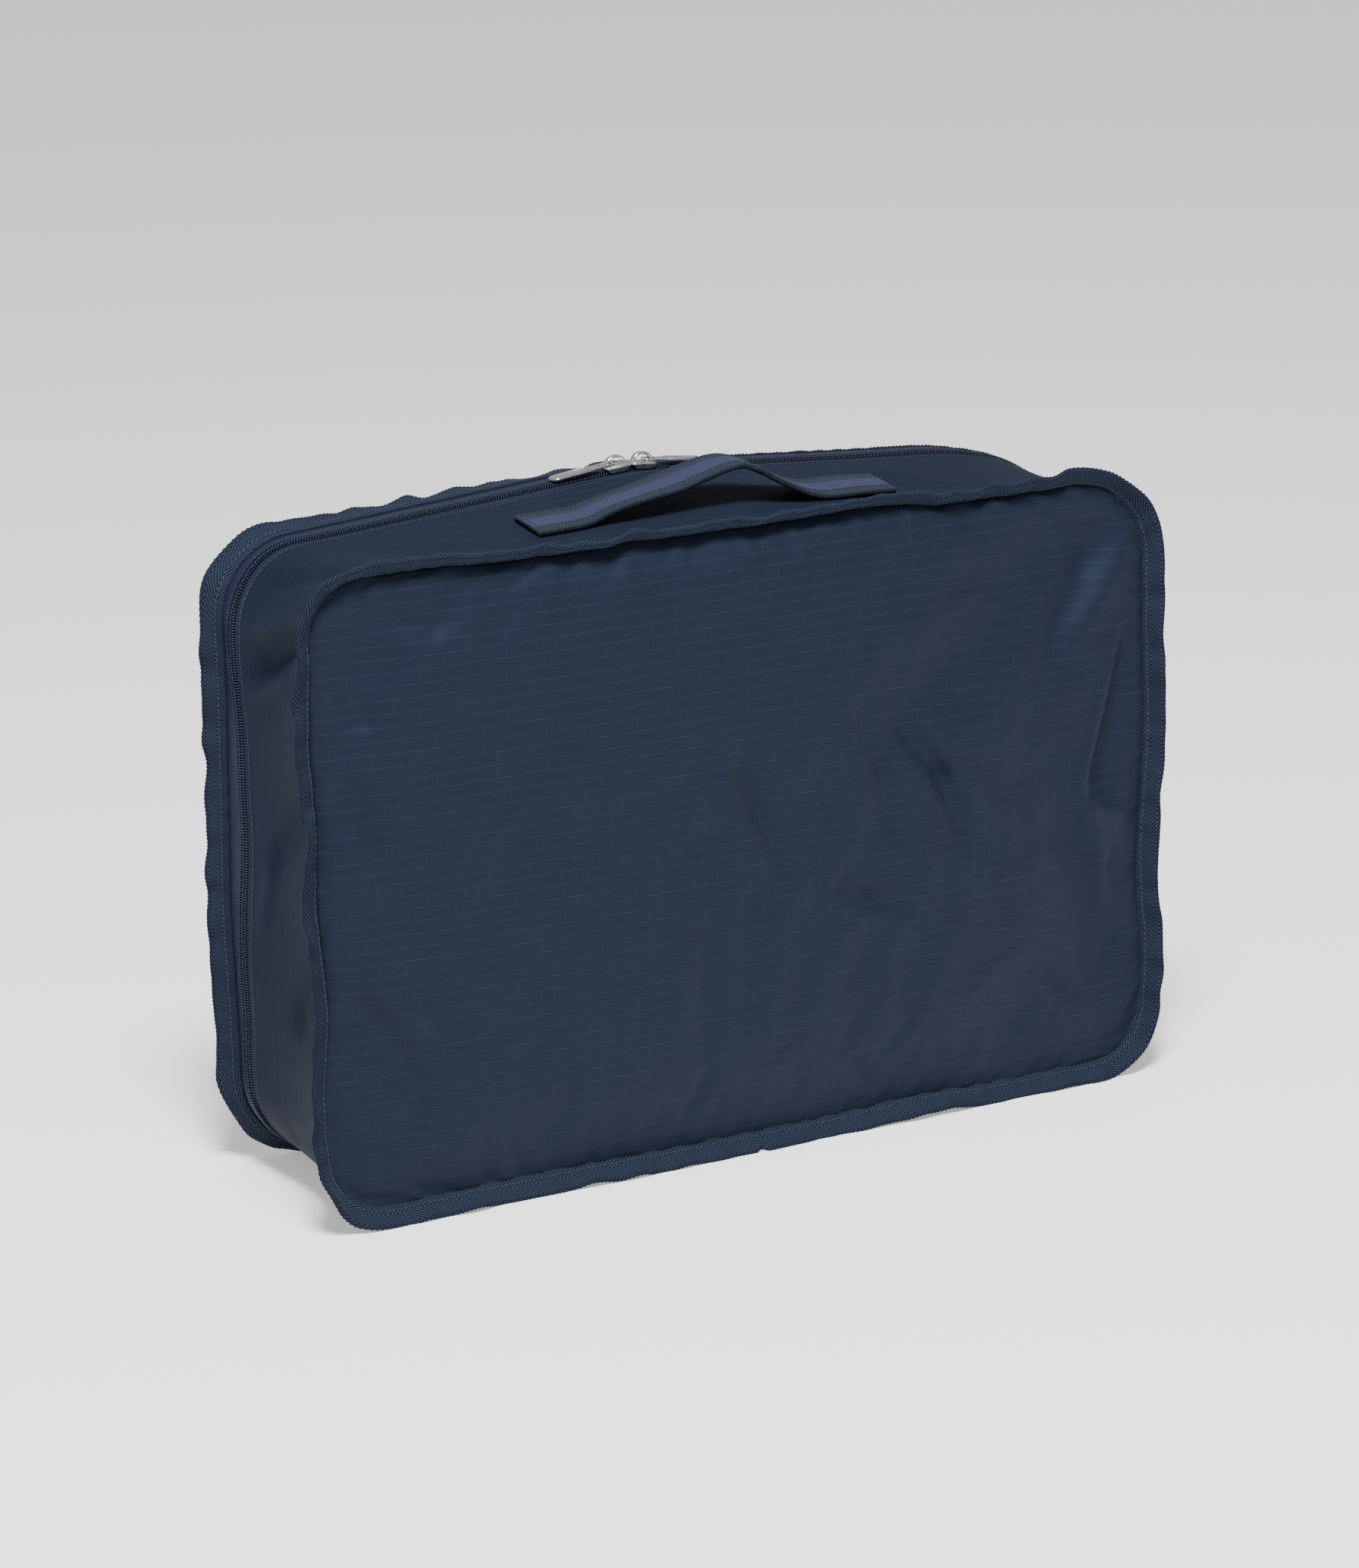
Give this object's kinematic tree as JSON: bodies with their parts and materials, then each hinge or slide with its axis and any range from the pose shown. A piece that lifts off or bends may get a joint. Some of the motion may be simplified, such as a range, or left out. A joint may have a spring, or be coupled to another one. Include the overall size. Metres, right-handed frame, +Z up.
{
  "type": "packing cube",
  "caption": "Soft rectangular zip-up packing organiser for a suitcase, with bound seams, a zip-round back flap with paired pull tabs and a webbing top handle.",
  "frame": {"origin": "on the table under the middle of the cube, at the bottom centre of its bounding box", "axes": "+X to the right along the long side, +Y from the front panel to the zip-round back panel, +Z up to the handle"},
  "size_m": [0.463, 0.119, 0.3347],
  "materials": {
    "panel_cloth": "ripstop nylon with a fine woven grid, slight sheen",
    "gusset_cloth": "ripstop nylon, slight sheen",
    "binding_tape": "matte herringbone twill tape",
    "zipper_tape": "woven polyester zipper tape",
    "zipper_coil": "satin nylon coil",
    "thread": "polyester sewing thread",
    "handle_webbing": "matte twill webbing",
    "handle_ribbon": "grosgrain ribbon with a slight sheen",
    "slider_metal": "polished nickel-plated zinc"
  },
  "bodies": {
    "case": {"front_panel": "panel_cloth", "side_gusset": "gusset_cloth", "base_gusset": "gusset_cloth", "front_allowance": "gusset_cloth", "hinge_allowance": "gusset_cloth", "front_binding": "binding_tape", "hinge_binding": "binding_tape", "front_binding_thread": "thread", "zipper_tape_case": "zipper_tape", "zipper_coil_case": "zipper_coil", "hem_thread": "thread", "zipper_stop_left": "thread", "zipper_stop_right": "thread", "handle_end_left": "handle_webbing", "handle_end_right": "handle_webbing", "handle_ribbon_left": "handle_ribbon", "handle_ribbon_right": "handle_ribbon", "handle_stitch_left": "thread", "handle_stitch_right": "thread"},
    "lid": {"back_panel": "panel_cloth", "back_allowance": "gusset_cloth", "back_binding": "binding_tape", "back_binding_thread": "thread", "zipper_tape_lid": "zipper_tape", "zipper_coil_lid": "zipper_coil"},
    "slider_left": {"slider_body_left": "slider_metal", "slider_bridge_left": "slider_metal"},
    "slider_right": {"slider_body_right": "slider_metal", "slider_bridge_right": "slider_metal"},
    "pull_left": {"pull_tab_left": "slider_metal"},
    "pull_right": {"pull_tab_right": "slider_metal"},
    "handle": {"handle_strap": "handle_webbing", "handle_ribbon": "handle_ribbon"}
  },
  "joints": [
    {"name": "lid_hinge", "type": "hinge", "parent": "case", "child": "lid", "pos_m": [0, 0.0505, 0.00928], "axis": [-1, 0, 0], "range_deg": [0, 90]},
    {"name": "slider_left_travel", "type": "slide", "parent": "case", "child": "slider_left", "axis": [-0.9969, 0, -0.0785], "range_m": [0, 0.15]},
    {"name": "slider_right_travel", "type": "slide", "parent": "case", "child": "slider_right", "axis": [0.9977, 0, -0.0682], "range_m": [0, 0.17]},
    {"name": "pull_left_flip", "type": "hinge", "parent": "slider_left", "child": "pull_left", "pos_m": [-0.0218, 0.0385, 0.32592], "axis": [0, 1, 0], "range_deg": [0, 150]},
    {"name": "pull_right_flip", "type": "hinge", "parent": "slider_right", "child": "pull_right", "pos_m": [-0.00422, 0.0385, 0.32598], "axis": [0, -1, 0], "range_deg": [0, 150]},
    {"name": "handle_swing", "type": "hinge", "parent": "case", "child": "handle", "pos_m": [0, -0.014, 0.31558], "axis": [1, 0, 0], "range_deg": [-20, 20]}
  ]
}
